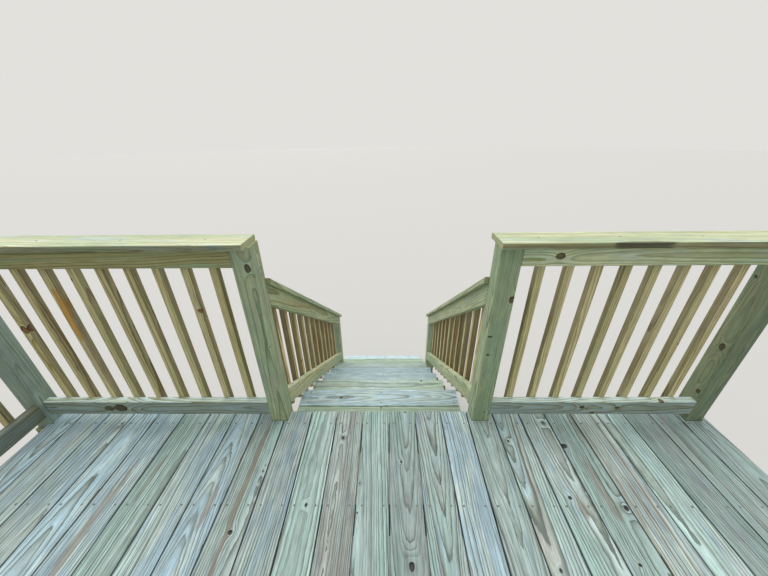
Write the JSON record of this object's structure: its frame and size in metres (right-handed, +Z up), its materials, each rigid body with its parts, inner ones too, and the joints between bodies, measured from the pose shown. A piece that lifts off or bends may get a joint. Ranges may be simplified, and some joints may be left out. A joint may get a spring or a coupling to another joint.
{
  "type": "wooden deck with stairs",
  "caption": "Raised timber deck with guard rails and a straight open-riser stair between sloping balustrades.",
  "frame": {"origin": "on the ground, under the middle of the whole object", "axes": "+Z up, +Y away from the deck and down the stair, +X along the stair side of the deck towards the house"},
  "size_m": [3.649, 4.539, 2.545],
  "materials": {
    "deck_board": "dry pressure-treated pine, grey-green with brown grain",
    "tread": "dry pressure-treated pine, pale blue-green",
    "post": "dry pressure-treated pine, green",
    "rail": "dry pressure-treated pine, yellow-green",
    "baluster": "dry pressure-treated pine, tan",
    "framing": "rough pressure-treated pine, brown-green"
  },
  "bodies": {
    "root": {"deck_boards": "deck_board", "joists": "framing", "rim_front": "framing", "rim_rear": "framing", "rim_left": "framing", "ledger": "framing", "post_front_left": "post", "post_stair_left": "post", "post_stair_right": "post", "post_front_right": "post", "post_side_middle": "post", "post_rear_left": "post", "post_rear_middle": "post", "post_rear_right": "post", "top_rail_front_left": "rail", "bottom_rail_front_left": "rail", "balusters_front_left": "baluster", "cap_front_left": "rail", "top_rail_front_right": "rail", "bottom_rail_front_right": "rail", "balusters_front_right": "baluster", "cap_front_right": "rail", "top_rail_side": "rail", "bottom_rail_side": "rail", "balusters_side": "baluster", "cap_side": "rail", "top_rail_rear": "rail", "bottom_rail_rear": "rail", "balusters_rear": "baluster", "cap_rear": "rail", "stair_header": "framing", "stringer_left": "framing", "stringer_middle": "framing", "stringer_right": "framing", "tread_1": "tread", "tread_2": "tread", "tread_3": "tread", "tread_4": "tread", "tread_5": "tread", "tread_6": "tread", "tread_7": "tread", "post_foot_left": "post", "top_rail_stair_left": "rail", "bottom_rail_stair_left": "rail", "balusters_stair_left": "baluster", "cap_stair_left": "rail", "post_foot_right": "post", "top_rail_stair_right": "rail", "bottom_rail_stair_right": "rail", "balusters_stair_right": "baluster", "cap_stair_right": "rail"}
  },
  "joints": []
}
